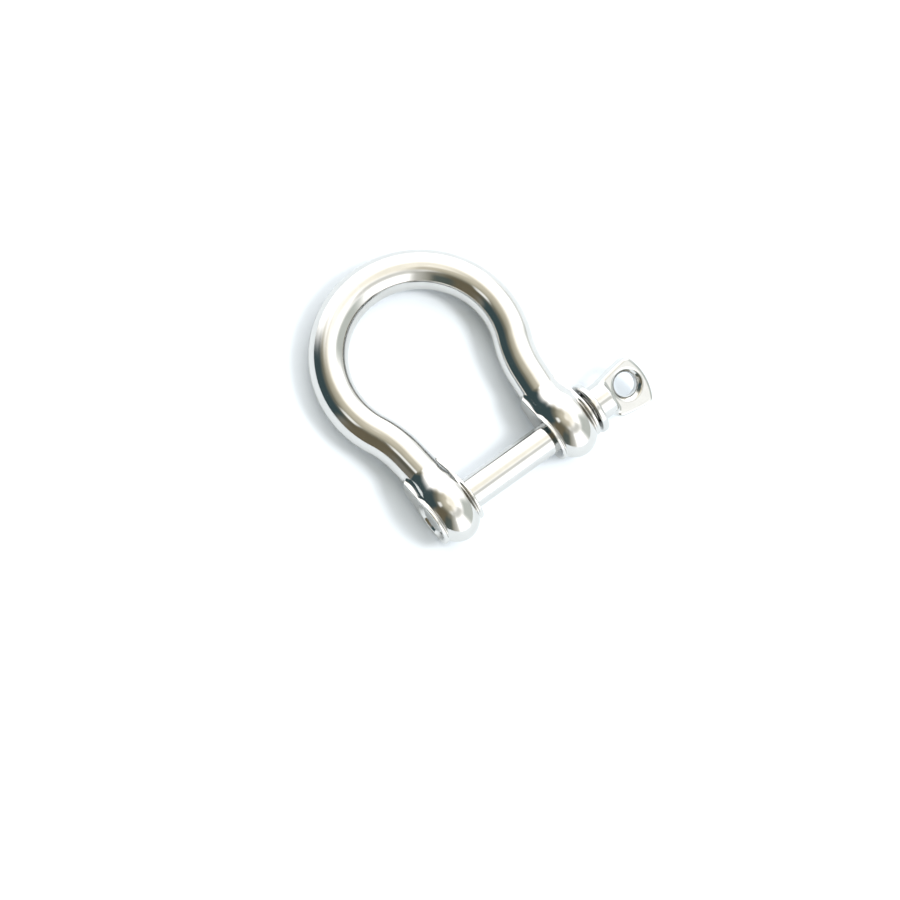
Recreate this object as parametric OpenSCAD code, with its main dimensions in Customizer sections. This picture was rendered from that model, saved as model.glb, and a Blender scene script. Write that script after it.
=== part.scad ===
// Bow shackle with an eye screw pin.
// +X runs along the pin towards its eye, +Y runs from the pin to the crown of the bow,
// and +Z is square to the plane of the bow. The origin is on the pin's axis, midway between the ears.

/* [Bow] */
// Diameter of the round bar of the bow
bar_d = 10; // [8:0.5:11]
// Clear width between the ears
jaw = 24.5; // [22:0.5:28]
// Distance from the pin's axis to the centre line of the bar at the crown
bow_len = 58.2; // [55:0.2:66]
// Radius of the crown, on the centre line of the bar
crown_r = 23; // [21:0.5:25]
// Radius of the outward sweep between a leg and the crown, on the centre line of the bar
sweep_r = 27.5; // [20:0.5:32]
// Angle at which each leg leans outwards from its ear
leg_splay = 5.7; // [4:0.1:8]

/* [Ears] */
// Thickness of an ear between its two flat faces
ear_t = 11.4; // [10.5:0.1:12.5]
// Diameter of an ear's egg-shaped body
egg_d = 15.2; // [14.4:0.2:16]
// Distance from the pin's axis to the far end of an ear
egg_end = 8.7; // [8.4:0.1:9]
// Radius of an ear's rounded end
egg_end_r = 5.5; // [5.2:0.1:5.8]
// Distance from the pin's axis to an ear's widest point, towards the crown
egg_y = 1.2; // [0.8:0.1:1.6]
// Diameter of the flat pads on both sides of an ear
pad_d = 12.8; // [12.6:0.2:13.2]
// Thickness of a pad
pad_t = 0.9; // [0.9:0.1:1.4]
// Distance from the pin's axis to the shoulder where the pads end
neck_y = 11.8; // [11:0.2:13]
// Width of the pads where they end at the shoulder
tip_w = 4.4; // [3:0.2:6]
// Diameter of the shallow dish in the inner face of the clear ear
dish_d = 12.2; // [10:0.2:12.2]
// Depth of the dish
dish_h = 0.8; // [0.5:0.1:1]
// Diameter of the countersink on the outer face of the threaded ear
thread_sink_d = 10.2; // [9.4:0.2:12]
// Diameter of the small countersinks on the other two faces
small_sink_d = 9.2; // [8.6:0.2:10.4]

/* [Pin] */
// Diameter of the pin's shank and of its M8 thread
pin_d = 8; // [7:0.5:8.5]
// Radial play of the pin in both ears
pin_play = 0.05; // [0.02:0.01:0.09]
// Depth of the thread's end below the outer face of the threaded ear
end_recess = 0.4; // [0:0.1:2]
// Gap between the collar and the clear ear
collar_gap = 0.7; // [0.2:0.1:1.2]
// Diameter of the collar
collar_d = 13.6; // [12:0.2:15]
// Thickness of the collar
collar_t = 1.8; // [1.4:0.1:3]
// Diameter of the neck between the collar and the eye
stem_d = 9.2; // [7.6:0.2:9.8]
// Length of the neck
stem_len = 3.8; // [2.2:0.1:4.4]

/* [Eye] */
// Length of the flat eye along the pin
eye_len = 11.4; // [10.8:0.2:12.4]
// Width of the eye at the neck
eye_base_w = 10.8; // [10:0.2:11.4]
// Greatest width of the eye
eye_w = 14.2; // [13:0.2:15]
// Offset of the eye's middle from the pin's axis, across the eye
eye_off = -0.8; // [-1:0.1:0]
// Length over which the eye flares to its greatest width
eye_flare = 5; // [4:0.2:7]
// Radius of the eye's rounded far edge
eye_edge_r = 14; // [10:0.5:20]
// Radius of the eye's far corners
eye_corner_r = 1.8; // [1:0.1:2.4]
// Thickness of the eye
eye_t = 4.4; // [3.8:0.2:5]
// Diameter of the hole through the eye
eye_hole_d = 5.8; // [4.6:0.2:6.4]
// Diameter of the countersinks at both ends of the hole
eye_sink_d = 8; // [6.8:0.2:8.6]
// Distance from the eye's base to the middle of its hole
eye_hole_x = 5.9; // [5.4:0.1:6.4]
// Turn of the eye about the pin, from the plane of the bow
eye_turn = 26; // [0:2:90]

/* [Hidden] */
$fn = 96;
eps = 0.01;
margin = 1;
weld_step = 0.04;
leg_root = 5;
egg_root = 0.5;
tip_slope = 0.8;
tip_inset = 0.2;
tip_t = 2.1;

ear_x = jaw / 2 + ear_t / 2;
ear_in = jaw / 2;
ear_out = jaw / 2 + ear_t;
bore_d = pin_d + 2 * pin_play;
crown_y = bow_len - crown_r;

// The leg leaves the middle of the shoulder. The sweep touches both the leg and the crown.
sweep_from_leg = [
    ear_x + sweep_r * cos(leg_splay),
    neck_y - sweep_r * sin(leg_splay) - crown_y
];
leg_dir = [sin(leg_splay), cos(leg_splay)];
along = sweep_from_leg * leg_dir;
apart = sweep_from_leg * sweep_from_leg - pow(crown_r + sweep_r, 2);
leg_len = -along - sqrt(along * along - apart);
sweep_c = sweep_from_leg + leg_len * leg_dir + [0, crown_y];
crown_a = -atan2(sweep_c[1] - crown_y, sweep_c[0]);
sweep_a = crown_a - leg_splay;

// The side of an ear is a long arc that touches the ball at its rounded end.
end_y = egg_end_r - egg_end;
end_gap = egg_y - end_y;
end_step = egg_d / 2 - egg_end_r;
side_r = egg_d / 2 + (end_gap * end_gap - end_step * end_step) / (2 * end_step);
side_c = egg_d / 2 - side_r;
touch_y = end_y - end_gap * egg_end_r / (side_r - egg_end_r);
egg_top = egg_y + sqrt(pow(side_r, 2) - pow(bar_d / 2 - egg_root - side_c, 2));

collar_x = ear_out + collar_gap;
stem_x = collar_x + collar_t;
eye_x = stem_x + stem_len;
thread_x = -ear_out + end_recess;

// A ring segment of the bar, from angle 0
module bar_arc(r, a) {
    rotate_extrude(angle = a)
        translate([r, 0])
            circle(d = bar_d);
}

// A ball that welds two segments of the bar, centred on their joint and barely proud of them
module weld() {
    sphere(d = bar_d + 2 * weld_step);
}

// One leg of the bow with its outward sweep, on the +X side
module leg() {
    translate([ear_x, neck_y, 0])
        rotate([-90, 0, -leg_splay]) {
            translate([0, 0, -leg_root])
                cylinder(h = leg_root + leg_len, d = bar_d);
            translate([0, 0, leg_len])
                weld();
        }
    translate([sweep_c[0], sweep_c[1], 0])
        rotate([0, 0, 180 - crown_a]) {
            bar_arc(sweep_r, sweep_a);
            translate([sweep_r, 0, 0])
                weld();
        }
}

module crown() {
    translate([0, crown_y, 0])
        rotate([0, 0, -crown_a])
            bar_arc(crown_r, 180 + 2 * crown_a);
}

// The egg-shaped body of an ear, about the Y axis. A ball makes its far end
module egg() {
    translate([0, end_y, 0])
        sphere(r = egg_end_r);
    rotate([-90, 0, 0])
        rotate_extrude()
            intersection() {
                translate([side_c, egg_y])
                    circle(r = side_r);
                translate([0, touch_y])
                    square([egg_d, egg_top - touch_y]);
            }
}

// One flat pad of an ear, on its +X side. Its tip slopes down to the bar
module pad() {
    half = ear_t / 2;
    root = pad_d / 2 - tip_inset;
    translate([half - pad_t, 0, 0])
        rotate([0, 90, 0])
            cylinder(h = pad_t, d = pad_d);
    intersection() {
        rotate([90, 0, 90])
            linear_extrude(ear_t + 2 * margin, center = true)
                polygon([
                    [0, -root],
                    [0, root],
                    [neck_y, tip_w / 2],
                    [neck_y, -tip_w / 2]
                ]);
        linear_extrude(pad_d, center = true)
            polygon([
                [half - tip_t, 0],
                [half, 0],
                [half, neck_y - tip_slope],
                [half - tip_slope, neck_y],
                [half - tip_t, neck_y]
            ]);
    }
}

// An ear on the +X side: an egg between two pads
module ear() {
    body_t = ear_t - pad_t;
    translate([ear_x, 0, 0]) {
        intersection() {
            egg();
            translate([-body_t / 2, -egg_end - margin, -egg_d])
                cube([body_t, 3 * egg_d, 2 * egg_d]);
        }
        for (side = [0, 1])
            mirror([side, 0, 0])
                pad();
    }
}

// A round cut along X, from x with diameter d1 to x + h with diameter d2
module cut_x(x, h, d1, d2) {
    translate([x, 0, 0])
        rotate([0, 90, 0])
            cylinder(h = h, d1 = d1, d2 = d2);
}

// Depth of a 45 degree countersink of diameter d
function countersink(d) = (d - bore_d) / 2;

// A cone of some depth cut into a face at x. dir is 1 where it narrows towards +X
module sink(x, d, depth, dir) {
    if (dir > 0)
        cut_x(x - eps, depth + eps, d + 2 * eps, bore_d);
    else
        cut_x(x - depth, depth + eps, bore_d, d + 2 * eps);
}

module bow() {
    color([0.80, 0.79, 0.76])
        difference() {
            union() {
                crown();
                for (side = [0, 1])
                    mirror([side, 0, 0]) {
                        leg();
                        ear();
                    }
            }
            cut_x(-ear_out - margin, 2 * (ear_out + margin), bore_d, bore_d);
            sink(-ear_out, thread_sink_d, countersink(thread_sink_d), 1);
            sink(-ear_in, small_sink_d, countersink(small_sink_d), -1);
            sink(ear_in, dish_d, dish_h, 1);
            sink(ear_out, small_sink_d, countersink(small_sink_d), -1);
        }
}

// Outline of the flat eye, with its base on the Y axis. The far corners touch the far edge's arc.
module eye_outline() {
    arc_x = eye_len - eye_edge_r;
    corner_y = eye_w / 2 - eye_corner_r;
    corner_x = arc_x + sqrt(pow(eye_edge_r - eye_corner_r, 2) - pow(corner_y, 2));
    intersection() {
        polygon([
            [0, -eye_base_w / 2],
            [eye_flare, -eye_w / 2],
            [eye_len, -eye_w / 2],
            [eye_len, eye_w / 2],
            [eye_flare, eye_w / 2],
            [0, eye_base_w / 2]
        ]);
        union() {
            translate([0, -eye_w / 2])
                square([corner_x, eye_w]);
            for (side = [-1, 1])
                translate([corner_x, side * corner_y])
                    circle(r = eye_corner_r);
            intersection() {
                translate([arc_x, 0])
                    circle(r = eye_edge_r);
                polygon([
                    [arc_x, 0],
                    [3 * corner_x - 2 * arc_x, 3 * corner_y],
                    [3 * corner_x - 2 * arc_x, -3 * corner_y]
                ]);
            }
        }
    }
}

module eye() {
    sink_h = (eye_sink_d - eye_hole_d) / 2;
    translate([eye_x, 0, 0])
        rotate([eye_turn, 0, 0])
            difference() {
                translate([0, 0, -eye_t / 2])
                    linear_extrude(eye_t)
                        translate([0, eye_off])
                            eye_outline();
                translate([eye_hole_x, 0, -eye_t])
                    cylinder(h = 2 * eye_t, d = eye_hole_d);
                for (side = [0, 1])
                    mirror([0, 0, side])
                        translate([eye_hole_x, 0, eye_t / 2 - sink_h])
                            cylinder(h = sink_h + eps, d1 = eye_hole_d, d2 = eye_sink_d + 2 * eps);
            }
}

module pin() {
    chamfer = 0.8;
    color([0.83, 0.82, 0.79]) {
        cut_x(thread_x, chamfer, pin_d - 2 * chamfer, pin_d);
        cut_x(thread_x + chamfer, collar_x - thread_x - chamfer, pin_d, pin_d);
        cut_x(collar_x, collar_t, collar_d, collar_d);
        cut_x(stem_x, stem_len, stem_d, stem_d);
        eye();
    }
}

bow();
pin();
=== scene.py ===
"""Bow shackle with an eye screw pin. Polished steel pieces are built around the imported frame.

Shapes are signed distances in millimetres, in the row's frame: +X along the pin towards its eye,
+Y towards the crown of the bow, +Z square to the bow's plane. A surface net turns each into a mesh.
"""
import math

import bpy
import numpy as np
from mathutils import Matrix, Vector


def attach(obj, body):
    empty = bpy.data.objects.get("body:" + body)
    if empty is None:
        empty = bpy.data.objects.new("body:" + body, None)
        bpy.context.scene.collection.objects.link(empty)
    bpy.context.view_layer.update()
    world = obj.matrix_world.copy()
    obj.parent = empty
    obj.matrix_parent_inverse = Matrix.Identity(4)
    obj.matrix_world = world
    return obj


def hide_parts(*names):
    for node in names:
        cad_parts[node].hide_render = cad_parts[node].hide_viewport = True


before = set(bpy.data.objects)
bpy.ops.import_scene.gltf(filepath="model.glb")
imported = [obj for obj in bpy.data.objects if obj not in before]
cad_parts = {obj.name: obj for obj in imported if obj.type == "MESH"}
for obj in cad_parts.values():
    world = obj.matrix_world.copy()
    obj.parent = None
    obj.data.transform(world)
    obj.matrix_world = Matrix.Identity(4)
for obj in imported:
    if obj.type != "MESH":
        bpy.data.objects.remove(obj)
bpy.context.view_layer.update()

# ---------------------------------------------------------------- sizes, in millimetres

MM = 0.001
BAR_R = 5.0
JAW = 24.5
EAR_T = 11.4
EAR_X = (JAW + EAR_T) / 2
EAR_IN = JAW / 2
EAR_OUT = JAW / 2 + EAR_T

EGG = (7.0, 9.9, 7.6)     # an ear's round body, half its size in X, Y and Z
EGG_Y = 1.2
BODY_T = 10.3             # the body is cut flat on both sides, where two thin round pads sit on it
PAD_R = 6.4
PAD_T = 0.8
TIP_T = 2.1               # a pad runs up the leg in a pointed tip, thicker than the pad
TIP_FROM_Y = 4.0
SHOULDER_Y = 11.8         # where the tips end
TIP_HALF_W = 2.2
ROOT_HALF_W = 6.2
TIP_SLOPE = 0.8           # how long the slope at a tip's end is
PAD_EDGE = 0.25
TIP_EDGE = 0.4
SLOPE_EDGE = 0.3
BODY_EDGE = 0.3
TIP_FILLET = 0.8          # in the corner between a round pad and its tip
PAD_FILLET = 0.6          # under the pads
LEG_FILLET = 1.8          # between an ear's body and the bar
HOLE_EDGE = 0.18

CROWN_R = 23.0
CROWN_Y = 35.2
SWEEP_R = 27.5
LEG_SPLAY = math.radians(5.7)
LEG_ROOT = 5.0

BORE_R = 4.05
SINKS = (                 # face, 1 where it narrows towards +X, radius and depth of each countersink
    (-EAR_OUT, 1, 5.1, 1.05),
    (-EAR_IN, -1, 4.6, 0.55),
    (EAR_IN, 1, 6.1, 0.8),
    (EAR_OUT, -1, 4.6, 0.55),
)
PITCH = 1.25
THREAD_H = 0.66
TAP_H = 0.5
CREST, FLANK = 0.15, 0.6  # shares of half a pitch

PIN_R = 4.0
PIN_CHAMFER = 0.8
PIN_EDGE = 0.2
THREAD_EDGE = 0.15
PIN_END = -EAR_OUT + 0.4
THREAD_TO = -EAR_IN - 0.4
COLLAR_X = EAR_OUT + 0.7
COLLAR_T = 1.8
COLLAR_R = 6.8
COLLAR_EDGE = 0.6
COLLAR_FILLET = 0.2
NECK_X = COLLAR_X + COLLAR_T
NECK_R = 4.6
NECK_ROOT = 0.8           # how far the neck reaches into the collar and the eye
NECK_EDGE = 0.6
NECK_FILLET = 0.5
EYE_X = NECK_X + 3.8
EYE_TURN = math.radians(26)
EYE_LEN = 11.4
EYE_T = 4.4
EYE_OFF = -0.8            # the outline's middle, sideways from the hole
EYE_BASE_HALF = 5.4
EYE_HALF = 7.1
EYE_FLARE = 5.0
EYE_ARC_R = 14.0
EYE_SIDE_R = 3.0          # where the flare meets the straight sides
EYE_CORNER_R = 1.5
EYE_BASE_R = 1.2
EYE_RIM = 1.0
EYE_FILLET = 0.9
EYE_HOLE_X = 5.9
EYE_HOLE_R = 2.9
EYE_SINK_R = 4.0
SINK_FILLET = 0.4
SINK_EDGE = 0.25


# ---------------------------------------------------------------- signed distances

def join(a, b, r):
    """The union of two distances, with a fillet of radius r in the corner between them."""
    return np.maximum(np.minimum(a, b), r) - np.hypot(np.maximum(r - a, 0), np.maximum(r - b, 0))


def meet(a, b, r):
    """The intersection of two distances, with their edge rounded to radius r."""
    return np.minimum(np.maximum(a, b), -r) + np.hypot(np.maximum(r + a, 0), np.maximum(r + b, 0))


def sweep_frame():
    """The middle of the sweep's arc, and the length of the straight leg below it."""
    out = np.array([math.sin(LEG_SPLAY), math.cos(LEG_SPLAY)])
    side = np.array([math.cos(LEG_SPLAY), -math.sin(LEG_SPLAY)])
    start = np.array([EAR_X, SHOULDER_Y - CROWN_Y]) + SWEEP_R * side
    along = start @ out
    apart = start @ start - (CROWN_R + SWEEP_R) ** 2
    length = -along - math.sqrt(along * along - apart)
    return start + length * out + np.array([0, CROWN_Y]), length


SWEEP_C, LEG_LEN = sweep_frame()


def bar(x, y, z):
    """The bent round bar. It is the same on both sides."""
    x = np.abs(x)
    joint = math.atan2(SWEEP_C[1] - CROWN_Y, SWEEP_C[0])
    in_crown = np.arctan2(y - CROWN_Y, x) > joint
    crown = np.where(in_crown, np.abs(np.hypot(x, y - CROWN_Y) - CROWN_R), np.inf)
    dx, dy = x - SWEEP_C[0], y - SWEEP_C[1]
    angle = np.arctan2(dy, -dx)
    in_sweep = (angle > LEG_SPLAY) & (angle < -joint)
    sweep = np.where(in_sweep, np.abs(np.hypot(dx, dy) - SWEEP_R), np.inf)
    ux, uy = math.sin(LEG_SPLAY), math.cos(LEG_SPLAY)
    px, py = x - EAR_X, y - SHOULDER_Y
    t = np.clip(px * ux + py * uy, -LEG_ROOT, LEG_LEN)
    leg = np.hypot(px - t * ux, py - t * uy)
    return np.hypot(np.minimum(np.minimum(crown, sweep), leg), z) - BAR_R


def egg(x, y, z):
    """The round body of an ear, with x from its middle."""
    u, v, w = x / EGG[0], (y - EGG_Y) / EGG[1], z / EGG[2]
    reach = np.sqrt(u * u + v * v + w * w)
    slope = np.sqrt((u / EGG[0]) ** 2 + (v / EGG[1]) ** 2 + (w / EGG[2]) ** 2)
    return reach * (reach - 1) / np.maximum(slope, 1e-6)


def pads(x, y, z):
    """The flat pads on both sides of an ear, round below and pointed at the shoulder."""
    flat = np.abs(x) - EAR_T / 2
    lean = math.atan2(ROOT_HALF_W - TIP_HALF_W, SHOULDER_Y)
    side = (np.abs(z) - ROOT_HALF_W) * math.cos(lean) + y * math.sin(lean)
    slope = (flat + y - SHOULDER_Y + TIP_SLOPE) / math.sqrt(2)
    tip = np.maximum(meet(side, y - SHOULDER_Y, TIP_EDGE), TIP_FROM_Y - y)
    outline = join(np.hypot(y, z) - PAD_R, tip, TIP_FILLET)
    thin = meet(outline, np.abs(flat + PAD_T / 2) - PAD_T / 2, PAD_EDGE)
    thick = meet(tip, np.abs(flat + TIP_T / 2) - TIP_T / 2, PAD_EDGE)
    return meet(np.minimum(thin, thick), slope, SLOPE_EDGE)


def groove(x, y, z, r, h):
    """How far a right-hand thread's surface stands from the axis, between r - h and r."""
    phase = (x / PITCH - np.arctan2(z, y) / (2 * math.pi)) % 1
    wave = np.abs(2 * phase - 1)
    return r - h * np.clip((wave - CREST) / FLANK, 0, 1)


def holes(x, y, z):
    """The space that both ears' bores and countersinks take out. Positive inside the metal."""
    rho = np.hypot(y, z)
    tap = groove(x, y, z, BORE_R + TAP_H, TAP_H)
    clear = rho - np.where(x < 0, tap, BORE_R)
    for face, narrows, r, depth in SINKS:
        wide = r - BORE_R
        cone = ((rho - r) * depth + (x - face) * narrows * wide) / math.hypot(depth, wide)
        near = np.abs(x - face) - EAR_T / 3
        clear = np.minimum(clear, np.maximum(cone, near))
    return clear


def bow(x, y, z):
    """The bent bar with its two ears."""
    from_ear = np.abs(x) - EAR_X
    body = meet(egg(from_ear, y, z), np.abs(from_ear) - BODY_T / 2, BODY_EDGE)
    body = join(body, bar(x, y, z), LEG_FILLET)
    return meet(join(body, pads(from_ear, y, z), PAD_FILLET), -holes(x, y, z), HOLE_EDGE)


def eye(x, y, z):
    """The flat eye, with x from its base, y across it and z through it."""
    w = y - EYE_OFF
    lean = math.atan2(EYE_HALF - EYE_BASE_HALF, EYE_FLARE)
    flare = (np.abs(w) - EYE_BASE_HALF) * math.cos(lean) - x * math.sin(lean)
    outline = meet(flare, np.abs(w) - EYE_HALF, EYE_SIDE_R)
    outline = meet(outline, np.hypot(x - EYE_LEN + EYE_ARC_R, w) - EYE_ARC_R, EYE_CORNER_R)
    outline = meet(outline, -x, EYE_BASE_R)
    plate = meet(outline, np.abs(z) - EYE_T / 2, EYE_RIM)
    rho = np.hypot(x - EYE_HOLE_X, y)
    sink = (rho - EYE_SINK_R + EYE_T / 2 - np.abs(z)) / math.sqrt(2)
    hole = join(rho - EYE_HOLE_R, sink, SINK_FILLET)
    return meet(plate, -hole, SINK_EDGE)


def pin(x, y, z):
    """The screw pin: a shank with its thread, a collar, a neck and the eye."""
    rho = np.hypot(y, z)
    fade = np.clip((THREAD_TO - x) / (0.8 * PITCH), 0, 1)
    r = np.where(x < THREAD_TO, groove(x, y, z, PIN_R, THREAD_H), PIN_R)
    r = PIN_R + (r - PIN_R) * fade
    chamfer = (rho - PIN_R + PIN_CHAMFER - (x - PIN_END)) / math.sqrt(2)
    shank = meet(meet(rho - r, chamfer, THREAD_EDGE), PIN_END - x, PIN_EDGE)
    shank = np.maximum(shank, x - NECK_X)
    collar = meet(rho - COLLAR_R, np.abs(x - COLLAR_X - COLLAR_T / 2) - COLLAR_T / 2, COLLAR_EDGE)
    neck_ends = np.abs(x - (NECK_X + EYE_X) / 2) - (EYE_X - NECK_X) / 2 - NECK_ROOT
    neck = meet(rho - NECK_R, neck_ends, NECK_EDGE)
    c, s = math.cos(EYE_TURN), math.sin(EYE_TURN)
    head = eye(x - EYE_X, y * c + z * s, z * c - y * s)
    return join(join(join(shank, collar, COLLAR_FILLET), neck, NECK_FILLET), head, EYE_FILLET)


# ---------------------------------------------------------------- distances to meshes

# This reach sets both the painted shade that darkens the steel in crevices and the lighter wear on its
# edges.
SHADE_AND_WEAR_REACH = 0.7          # how far from a point its corner or edge is felt
SLABS = 12


def grid_lines(*stops):
    """Grid lines along one axis: start, step, next stop, step, ..., end."""
    lines = [np.array([stops[0]])]
    for low, step, high in zip(stops[0::2], stops[1::2], stops[2::2]):
        count = max(round((high - low) / step), 1)
        lines.append(np.linspace(low, high, count + 1)[1:])
    return np.concatenate(lines)


def sample(field, lines):
    """The field on every grid point, one slab at a time to save memory."""
    slabs = []
    for x in np.array_split(lines[0], SLABS):
        slabs.append(field(*np.meshgrid(x, lines[1], lines[2], indexing="ij")))
    return np.concatenate(slabs)


def surface_net(field, lines):
    """Points and four-sided faces around the zero of the field, one point per grid cell it crosses."""
    grid = sample(field, lines)
    inside = grid < 0
    shape = np.array(grid.shape)
    corners, points = [], []
    for axis in range(3):
        low, high = [slice(None)] * 3, [slice(None)] * 3
        low[axis], high[axis] = slice(None, -1), slice(1, None)
        low, high = tuple(low), tuple(high)
        index = np.argwhere(inside[low] != inside[high])
        at = tuple(index.T)
        a, b = grid[low][at], grid[high][at]
        point = np.stack([lines[k][index[:, k]] for k in range(3)], axis=1)
        ahead = lines[axis][index[:, axis] + 1]
        point[:, axis] += (ahead - point[:, axis]) * a / (a - b)
        u, v = np.eye(3, dtype=int)[[(axis + 1) % 3, (axis + 2) % 3]]
        cells = index[:, None, :] - np.stack([u + v, v, 0 * u, u])
        cells = np.where((a < 0)[:, None, None], cells, cells[:, ::-1])
        corners.append(np.ravel_multi_index(tuple(np.moveaxis(cells, 2, 0)), shape))
        points.append(np.repeat(point, 4, axis=0))
    corners, points = np.concatenate(corners), np.concatenate(points)
    cells, where = np.unique(corners.ravel(), return_inverse=True)
    count = np.bincount(where)
    middle = np.stack([np.bincount(where, points[:, k]) / count for k in range(3)], axis=1)
    return middle, where.reshape(corners.shape)


def gradient(field, p, step=0.01):
    """The field's slope at each point."""
    shift = step * np.eye(3)
    return np.stack([(field(*(p + s).T) - field(*(p - s).T)) / (2 * step) for s in shift], axis=1)


def settle(field, p, rounds=5, most=0.1):
    """The points moved along the field's slope onto its surface."""
    for _ in range(rounds):
        slope = gradient(field, p)
        move = field(*p.T)[:, None] * slope / np.maximum((slope ** 2).sum(axis=1, keepdims=True), 1e-6)
        length = np.linalg.norm(move, axis=1, keepdims=True)
        p = p - move * np.minimum(1, most / np.maximum(length, 1e-9))
    return p


def solid(name, field, lines):
    """A smooth mesh of the field.

    Its attributes say how deep in a corner and how near an edge each point is.
    """
    points, faces = surface_net(field, lines)
    points = settle(field, points)
    normal = gradient(field, points)
    normal /= np.maximum(np.linalg.norm(normal, axis=1, keepdims=True), 1e-9)
    mesh = bpy.data.meshes.new(name)
    mesh.from_pydata((points * MM).tolist(), [], faces.tolist())
    mesh.polygons.foreach_set("use_smooth", np.ones(len(faces), dtype=bool))
    mesh.normals_split_custom_set_from_vertices(normal.tolist())
    # crevice says how shut in a point is, and the steel's colour is darkened by it as painted shade;
    # edge says how near an edge it is, for the wear there.
    open_out = field(*(points + SHADE_AND_WEAR_REACH * normal).T) / SHADE_AND_WEAR_REACH
    open_in = -field(*(points - SHADE_AND_WEAR_REACH * normal).T) / SHADE_AND_WEAR_REACH
    for key, value in (("crevice", 1 - open_out), ("edge", 1 - open_in)):
        layer = mesh.attributes.new(key, "FLOAT", "POINT")
        layer.data.foreach_set("value", np.clip(value, 0, 1).astype(np.float32))
    piece = bpy.data.objects.new(name, mesh)
    bpy.context.scene.collection.objects.link(piece)
    return piece


# ---------------------------------------------------------------- material

class Nodes:
    """Short calls for building a node tree."""

    def __init__(self, tree):
        self.tree = tree
        tree.nodes.clear()

    def add(self, kind, **settings):
        node = self.tree.nodes.new(kind)
        for key, value in settings.items():
            setattr(node, key, value)
        return node

    def put(self, socket, value):
        if isinstance(value, bpy.types.NodeSocket):
            self.tree.links.new(value, socket)
        else:
            socket.default_value = value

    def math(self, operation, *values):
        node = self.add("ShaderNodeMath", operation=operation)
        for socket, value in zip(node.inputs, values):
            self.put(socket, value)
        return node.outputs[0]

    def ramp(self, value, low, high, to_low=0.0, to_high=1.0):
        """value from low..high to to_low..to_high, eased at both ends and held beyond them."""
        node = self.add("ShaderNodeMapRange", interpolation_type="SMOOTHSTEP")
        for socket, number in zip(node.inputs, (value, low, high, to_low, to_high)):
            self.put(socket, number)
        return node.outputs[0]

    def mix(self, share, first, second):
        node = self.add("ShaderNodeMix", data_type="RGBA")
        self.put(node.inputs["Factor"], share)
        self.put(node.inputs[6], first)
        self.put(node.inputs[7], second)
        return node.outputs[2]

    def noise(self, vector, scale, detail=2.0):
        node = self.add("ShaderNodeTexNoise")
        self.put(node.inputs["Vector"], vector)
        self.put(node.inputs["Scale"], scale)
        self.put(node.inputs["Detail"], detail)
        return node.outputs["Fac"]


def polished_steel(name, tint, stretch, wear):
    """Mirror-polished stainless steel. stretch pulls its fine scratches out along one axis."""
    material = bpy.data.materials.new(name)
    material.use_nodes = True
    n = Nodes(material.node_tree)
    place = n.add("ShaderNodeTexCoord").outputs["Object"]
    pulled = n.add("ShaderNodeMapping")
    n.put(pulled.inputs["Vector"], place)
    pulled.inputs["Scale"].default_value = stretch
    crevice = n.add("ShaderNodeAttribute", attribute_name="crevice").outputs["Fac"]
    edge = n.add("ShaderNodeAttribute", attribute_name="edge").outputs["Fac"]

    grain = n.noise(place, 260.0, 3.0)
    scratch = n.ramp(n.noise(pulled.outputs[0], 900.0, 4.0), 0.60, 0.72)
    hazy = n.ramp(n.noise(place, 90.0, 2.0), 0.45, 0.75)
    rough = n.math("MULTIPLY_ADD", hazy, 0.05 * wear, 0.07)
    rough = n.math("MULTIPLY_ADD", scratch, 0.10 * wear, rough)
    rough = n.math("MULTIPLY_ADD", n.ramp(crevice, 0.15, 0.7), 0.16, rough)

    darker = [0.55 * c for c in tint]
    lighter = [min(1.08 * c, 1.0) for c in tint]
    # Painted shade: the colour is darkened towards the crevices.
    colour = n.mix(n.ramp(crevice, 0.2, 0.8, 0.0, 0.55), (*tint, 1), (*darker, 1))
    colour = n.mix(n.ramp(edge, 0.25, 0.6, 0.0, 0.6), colour, (*lighter, 1))
    colour = n.mix(n.ramp(grain, 0.35, 0.75, 0.0, 0.12), colour, (*darker, 1))

    height = n.math("MULTIPLY_ADD", n.noise(place, 150.0, 1.0), 1.0, n.math("MULTIPLY", scratch, -0.08))
    bump = n.add("ShaderNodeBump")
    bump.inputs["Strength"].default_value = 0.35
    bump.inputs["Distance"].default_value = 0.00004
    n.put(bump.inputs["Height"], height)

    shader = n.add("ShaderNodeBsdfPrincipled")
    shader.inputs["Metallic"].default_value = 1.0
    n.put(shader.inputs["Base Color"], colour)
    n.put(shader.inputs["Roughness"], rough)
    n.put(shader.inputs["Normal"], bump.outputs[0])
    n.put(n.add("ShaderNodeOutputMaterial").inputs["Surface"], shader.outputs[0])
    return material


# ---------------------------------------------------------------- the two pieces

FINE, PLAIN = 0.18, 0.45                  # grid steps at the ears and along the bar
BOW_Z_STEP, PIN_STEP = 0.2, 0.17          # across the bow's plane, and across the pin
THREAD_STEP, HEAD_STEP = 0.14, 0.2        # along the pin
EARS_FROM, EARS_TO, EARS_TOP = 11.8, 24.2, 12.8
HALF_BOW, CROWN_END, PIN_HEAD_END = 29, 64.5, 42.2
HALF = 9                                  # half of what the grids span across
SPARE = 0.6

bow_lines = (
    grid_lines(-HALF_BOW, PLAIN, -EARS_TO, FINE, -EARS_FROM, PLAIN,
               EARS_FROM, FINE, EARS_TO, PLAIN, HALF_BOW),
    grid_lines(-HALF, FINE, EARS_TOP, PLAIN, CROWN_END),
    grid_lines(-HALF, BOW_Z_STEP, HALF),
)
pin_lines = (
    grid_lines(PIN_END - SPARE, THREAD_STEP, THREAD_TO + SPARE, PLAIN,
               COLLAR_X - SPARE, HEAD_STEP, PIN_HEAD_END),
    grid_lines(-HALF, PIN_STEP, HALF),
    grid_lines(-HALF, PIN_STEP, HALF),
)
BOW_TINT = (0.61, 0.605, 0.585)
PIN_TINT = (0.60, 0.60, 0.585)

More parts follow.
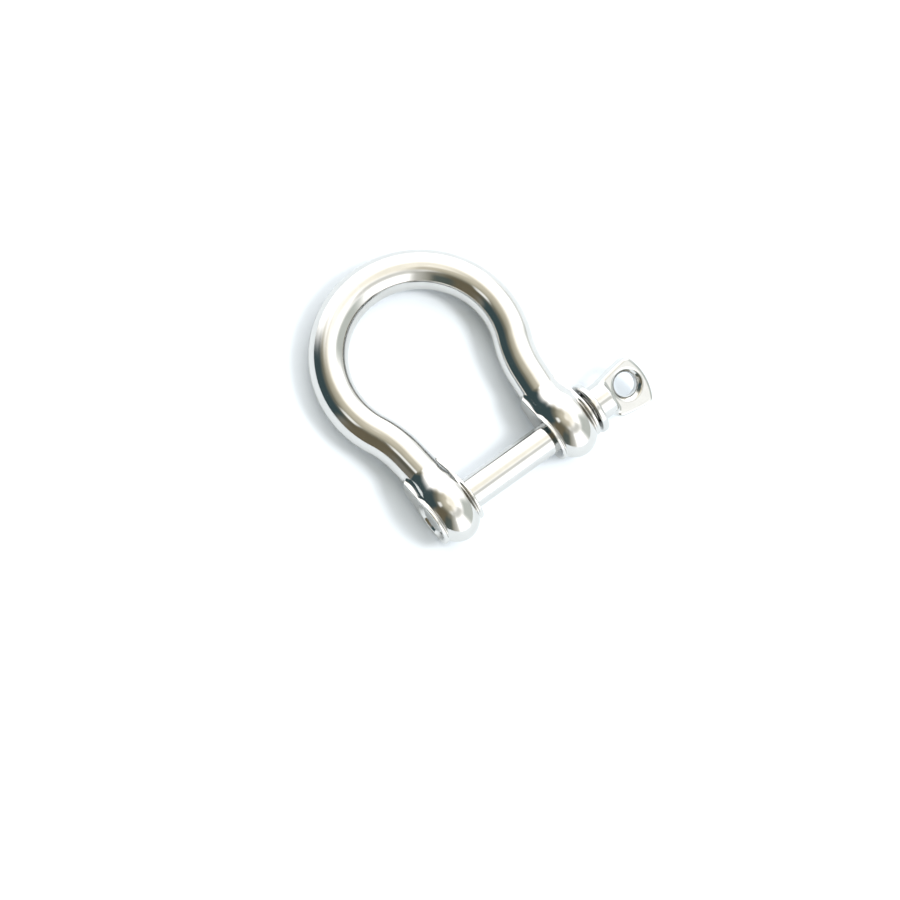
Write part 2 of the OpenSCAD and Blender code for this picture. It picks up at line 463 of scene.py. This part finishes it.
shackle_bow = solid("shackle_bow", bow, bow_lines)
shackle_bow.data.materials.append(polished_steel("bow_steel", BOW_TINT, (1, 0.12, 1), 0.8))
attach(shackle_bow, "bow")
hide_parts("bow")

screw_pin = solid("screw_pin", pin, pin_lines)
screw_pin.data.materials.append(polished_steel("pin_steel", PIN_TINT, (0.15, 1, 1), 1.0))
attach(screw_pin, "pin")
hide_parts("pin")


# ---------------------------------------------------------------- the table it lies on

EAR_FLOOR, CROWN_FLOOR = EGG[2] - 0.1, BAR_R     # how far the table is below the ears and the crown
FLOOR_TILT = math.asin((EAR_FLOOR - CROWN_FLOOR) / (CROWN_Y + CROWN_R))
FLOOR_HALF = 3.0
PAPER = (0.79, 0.85, 0.92, 1), (0.80, 0.86, 0.93, 1)

floor_mesh = bpy.data.meshes.new("floor")
floor_mesh.from_pydata(
    [(x * FLOOR_HALF, y * FLOOR_HALF, 0) for x, y in ((-1, -1), (1, -1), (1, 1), (-1, 1))],
    [], [(0, 1, 2, 3)],
)
floor = bpy.data.objects.new("floor", floor_mesh)
floor.matrix_world = Matrix.Rotation(FLOOR_TILT, 4, "X") @ Matrix.Translation((0, 0, -EAR_FLOOR * MM))
bpy.context.scene.collection.objects.link(floor)
paper = bpy.data.materials.new("white_table")
paper.use_nodes = True
n = Nodes(paper.node_tree)
place = n.add("ShaderNodeTexCoord").outputs["Object"]
shader = n.add("ShaderNodeBsdfPrincipled")
n.put(shader.inputs["Base Color"], n.mix(n.noise(place, 40.0), *PAPER))
shader.inputs["Roughness"].default_value = 0.7
shader.inputs["Specular IOR Level"].default_value = 0.2
n.put(n.add("ShaderNodeOutputMaterial").inputs["Surface"], shader.outputs[0])
floor.data.materials.append(paper)


# ---------------------------------------------------------------- light

def heading(azimuth, elevation):
    a, e = math.radians(azimuth), math.radians(elevation)
    return Vector((math.cos(e) * math.cos(a), math.cos(e) * math.sin(a), math.sin(e)))


world = bpy.data.worlds.new("studio")
bpy.context.scene.world = world
world.use_nodes = True
n = Nodes(world.node_tree)
way = n.add("ShaderNodeSeparateXYZ")
n.put(way.inputs[0], n.add("ShaderNodeTexCoord").outputs["Generated"])
way_x, way_y, way_z = way.outputs
level = n.math("SQRT", n.math("ADD", n.math("MULTIPLY", way_x, way_x), n.math("MULTIPLY", way_y, way_y)))
level = n.math("MAXIMUM", level, 0.001)


def panel(below, colour, azimuth, half, blur, low, high, rise, share=1.0):
    """A soft-edged panel in the sky, over what is below. Angles are in degrees, from its middle."""
    along = n.math("ADD",
                   n.math("MULTIPLY", way_x, math.cos(math.radians(azimuth))),
                   n.math("MULTIPLY", way_y, math.sin(math.radians(azimuth))))
    along = n.math("DIVIDE", along, level)
    inner = math.cos(math.radians(max(half - blur, 0)))
    outer = math.cos(math.radians(min(half + blur, 180)))
    side = n.ramp(along, outer, inner)
    bottom = n.ramp(way_z, math.sin(math.radians(low - rise)), math.sin(math.radians(low + rise)))
    above = math.sin(math.radians(min(high + rise, 90)))
    top = n.ramp(way_z, above, math.sin(math.radians(high - rise)))
    mask = n.math("MULTIPLY", n.math("MULTIPLY", side, bottom), n.math("MULTIPLY", top, share))
    return n.mix(mask, below, (*colour, 1))


sky = (2.30, 2.29, 2.28, 1)
sky = panel(sky, (1.55, 1.48, 1.30), 10, 180, 1, 71, 100, 9)          # cream ceiling
sky = panel(sky, (0.92, 0.86, 0.70), 165, 95, 25, 64, 86, 7)          # beige ceiling at the back
sky = panel(sky, (0.66, 0.62, 0.49), 160, 62, 18, 44, 74, 9)          # tan wall above the doorway
sky = panel(sky, (0.80, 0.85, 0.81), -34, 26, 12, -60, 46, 10)        # grey screen
sky = panel(sky, (0.90, 0.90, 0.85), -84, 40, 14, 47, 68, 8, 0.9)     # grey lintel of the window
sky = panel(sky, (0.78, 0.82, 0.80), 0, 20, 12, -30, 14, 8, 0.8)      # low grey cupboard
sky = panel(sky, (0.62, 0.62, 0.56), -131, 16, 7, -20, 58, 9, 0.9)    # grey wall beside the window
sky = panel(sky, (0.33, 0.32, 0.26), -156, 26, 10, -20, 60, 9)        # brown-grey wall
sky = panel(sky, (0.27, 0.26, 0.20), 162, 50, 14, 30, 60, 9)          # brown wall above the doorway
sky = panel(sky, (0.065, 0.105, 0.115), 146, 30, 12, -20, 46, 11)     # dark doorway
sky = panel(sky, (0.20, 0.17, 0.11), -170, 18, 9, -20, 56, 10, 0.9)   # brown curtain
sky = panel(sky, (0.08, 0.12, 0.12), -146, 9, 6, -20, 42, 10, 0.8)    # dark edge of the curtain
sky = panel(sky, (1.60, 1.62, 1.60), 166, 8, 5, 50, 61, 4, 0.9)       # lamp on the brown wall
background = n.add("ShaderNodeBackground")
n.put(background.inputs["Color"], sky)
background.inputs["Strength"].default_value = 1.0
n.put(n.add("ShaderNodeOutputWorld").inputs["Surface"], background.outputs[0])


def window_light(name, azimuth, elevation, distance, size, power, colour):
    data = bpy.data.lights.new(name, "AREA")
    data.shape = "DISK"
    data.size = size
    data.energy = power
    data.color = colour
    lamp = bpy.data.objects.new(name, data)
    lamp.visible_glossy = False
    way = heading(azimuth, elevation)
    turn = way.to_track_quat("Z", "Y").to_matrix().to_4x4()
    lamp.matrix_world = Matrix.Translation(way * distance) @ turn
    bpy.context.scene.collection.objects.link(lamp)


window_light("key", -50, 54, 1.2, 0.36, 8.0, (1.0, 0.98, 0.95))


# ---------------------------------------------------------------- camera

LOOK_AT = Vector((-8.9, 11.8, 0)) * MM
DISTANCE = 0.543
CAMERA_AZIMUTH = -134.6
CAMERA_ELEVATION = 72.9
CAMERA_ROLL = 7.95
LENS = 89.3

camera = bpy.data.objects.new("camera", bpy.data.cameras.new("camera"))
camera.data.lens = LENS
camera.data.sensor_width = 36.0
camera.data.clip_start = 0.01
back = heading(CAMERA_AZIMUTH, CAMERA_ELEVATION)
turn = back.to_track_quat("Z", "Y").to_matrix().to_4x4()
turn = turn @ Matrix.Rotation(math.radians(CAMERA_ROLL), 4, "Z")
camera.matrix_world = Matrix.Translation(LOOK_AT + back * DISTANCE) @ turn
bpy.context.scene.collection.objects.link(camera)
bpy.context.scene.camera = camera
bpy.context.scene.view_settings.view_transform = "Standard"
